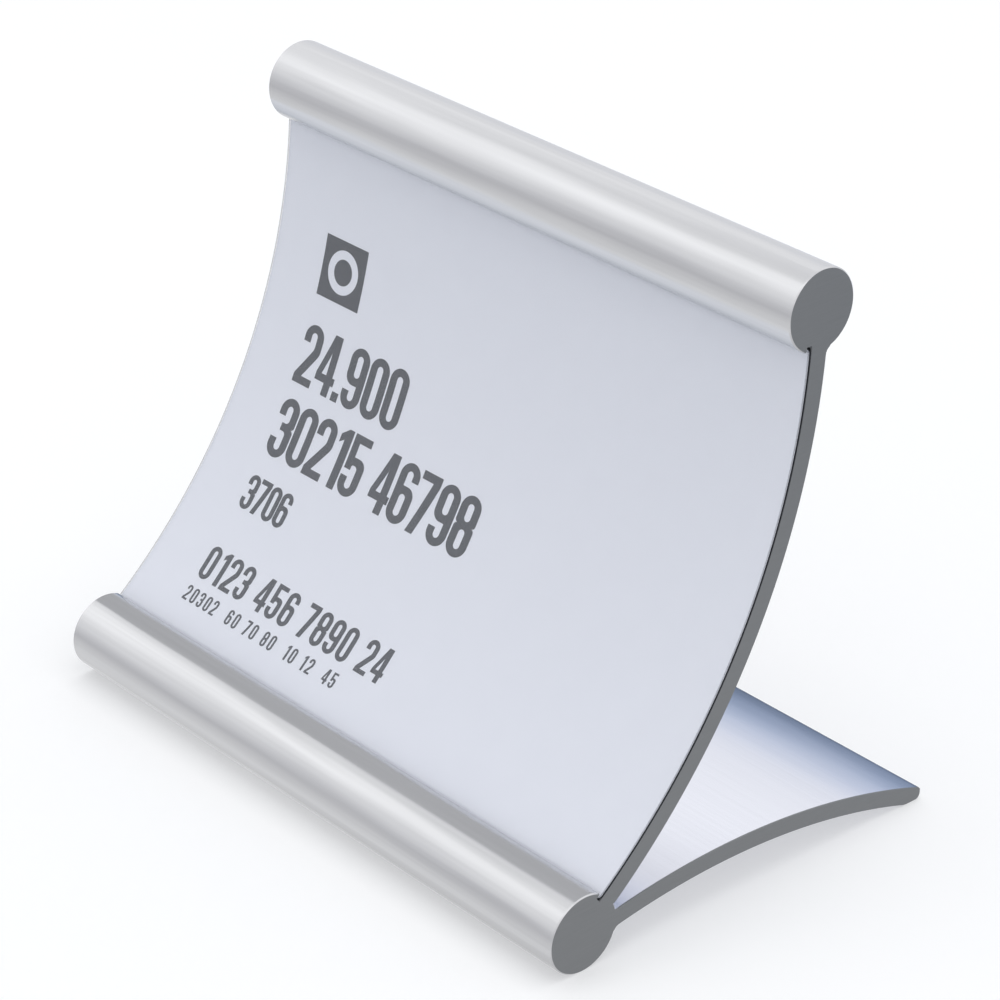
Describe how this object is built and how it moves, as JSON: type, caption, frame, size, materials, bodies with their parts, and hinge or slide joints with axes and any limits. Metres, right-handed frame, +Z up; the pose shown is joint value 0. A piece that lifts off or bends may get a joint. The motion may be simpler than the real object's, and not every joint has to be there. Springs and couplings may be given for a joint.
{
  "type": "table sign holder",
  "caption": "Low table sign holder: one extruded aluminium profile with slotted round rails, a curved panel and an arched foot, holding a slide-in card under a clear cover.",
  "frame": {"origin": "bottom centre of the holder's box, on the table", "axes": "+X along the rails, -Y the way the sign faces, +Z up"},
  "size_m": [0.07, 0.0476, 0.06],
  "materials": {
    "anodised_aluminium": "satin silver anodised",
    "printed_card": "smooth matt card with dark grey print",
    "clear_film": "clear film"
  },
  "bodies": {
    "holder": {"holder_extrusion": "anodised_aluminium"},
    "card": {"insert_card": "printed_card"},
    "cover": {"clear_cover": "clear_film"}
  },
  "joints": [
    {"name": "card_slide", "type": "slide", "parent": "holder", "child": "card", "axis": [1, 0, 0], "range_m": [-0.072, 0.072]},
    {"name": "cover_slide", "type": "slide", "parent": "holder", "child": "cover", "axis": [1, 0, 0], "range_m": [-0.072, 0.072]}
  ]
}
